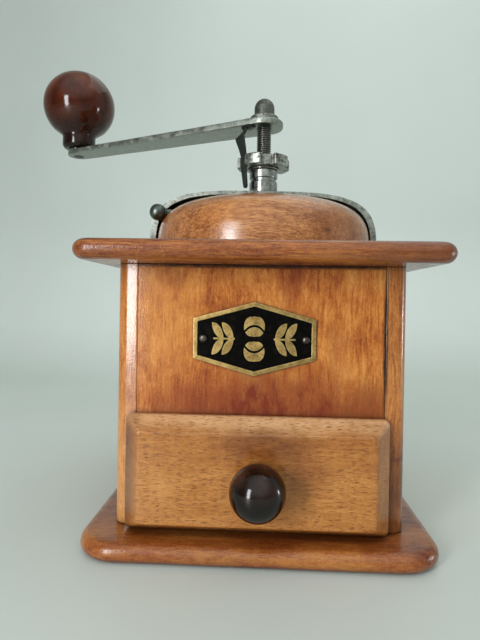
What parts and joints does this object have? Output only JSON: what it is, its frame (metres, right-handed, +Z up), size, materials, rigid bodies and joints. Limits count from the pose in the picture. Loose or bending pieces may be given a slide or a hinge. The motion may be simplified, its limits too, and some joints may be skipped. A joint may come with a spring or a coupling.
{
  "type": "hand crank coffee grinder",
  "caption": "Wooden box coffee mill with a hand crank, a domed hopper with a turning wooden lid, a lobed adjusting nut and a drawer for the grounds.",
  "frame": {"origin": "on the spindle's axis, at the underside of the base board", "axes": "+Z up along the spindle, the drawer faces -Y, +X to the right seen from the front"},
  "size_m": [0.2269, 0.1773, 0.2616],
  "materials": {
    "case_wood": "varnished, upright grain, orange brown to reddish",
    "board_wood": "varnished, reddish brown",
    "drawer_wood": "varnished beech with short dark flecks",
    "drawer_inner_wood": "bare beech",
    "lid_wood": "varnished, turned",
    "grip_wood": "dark red-brown, polished",
    "pull_dark": "dark brown-black, polished",
    "shell_metal": "mottled grey, worn nickel plate",
    "bright_steel": "turned, worn",
    "arm_steel": "dull grey, pitted",
    "dark_steel": "blued spring steel",
    "mill_iron": "as cast",
    "burr_steel": "hardened, dull",
    "plate_brass": "aged brass",
    "plate_black": "black enamel",
    "bush_brass": "turned brass",
    "nail_steel": "darkened",
    "screw_steel": "plain"
  },
  "bodies": {
    "case": {"base_board": "board_wood", "left_wall": "case_wood", "right_wall": "case_wood", "front_panel": "case_wood", "back_panel": "case_wood", "top_board": "board_wood", "case_screws": "screw_steel", "nameplate": "plate_brass", "nameplate_field": "plate_black", "nameplate_relief": "plate_brass", "nameplate_nails": "nail_steel", "hopper_shell": "shell_metal", "hopper_screws": "screw_steel", "bearing_sleeve": "bright_steel", "thrust_washer": "bright_steel", "mill_body": "mill_iron", "mill_screws": "screw_steel", "burr_ring": "burr_steel", "mill_bridge": "mill_iron", "lower_bush": "bush_brass", "bridge_screws": "screw_steel"},
    "drawer": {"drawer_front": "drawer_wood", "drawer_left_side": "drawer_inner_wood", "drawer_right_side": "drawer_inner_wood", "drawer_back": "drawer_inner_wood", "drawer_bottom": "drawer_inner_wood", "drawer_knob": "pull_dark", "drawer_knob_screw": "screw_steel"},
    "lid": {"hopper_lid": "lid_wood", "lid_bracket": "bright_steel", "lid_bracket_screws": "screw_steel", "lid_knob": "dark_steel"},
    "nut": {"adjusting_nut": "arm_steel"},
    "crank": {"spindle": "bright_steel", "crank_arm": "arm_steel", "crank_boss": "arm_steel", "cap_nut": "arm_steel", "catch_foot": "dark_steel", "catch_rivet": "dark_steel", "knob_pin": "bright_steel", "knob_washer": "bright_steel", "burr_cone": "burr_steel", "cone_pin": "screw_steel"},
    "catch": {"nut_catch": "dark_steel"},
    "grip": {"crank_knob": "grip_wood"}
  },
  "joints": [
    {"name": "drawer_slide", "type": "slide", "parent": "case", "child": "drawer", "axis": [0, -1, 0], "range_m": [0, 0.085]},
    {"name": "lid_turn", "type": "hinge", "parent": "case", "child": "lid", "pos_m": [0, 0, 0.1335], "axis": [0, 0, 1], "range_deg": [0, 150]},
    {"name": "crank_spin", "type": "hinge", "parent": "case", "child": "nut", "pos_m": [0, 0, 0.186], "axis": [0, 0, 1], "continuous": true},
    {"name": "burr_adjust", "type": "slide", "parent": "nut", "child": "crank", "axis": [0, 0, 1], "range_m": [0, 0.0012]},
    {"name": "catch_release", "type": "hinge", "parent": "crank", "child": "catch", "pos_m": [-0.01073, -0.0057, 0.20255], "axis": [-0.4695, 0.8829, 0], "range_deg": [0, 12], "stiffness_Nm_per_rad": 0.02},
    {"name": "grip_spin", "type": "hinge", "parent": "crank", "child": "grip", "pos_m": [-0.12665, 0.05481, 0.241], "axis": [0, 0, 1], "continuous": true}
  ]
}
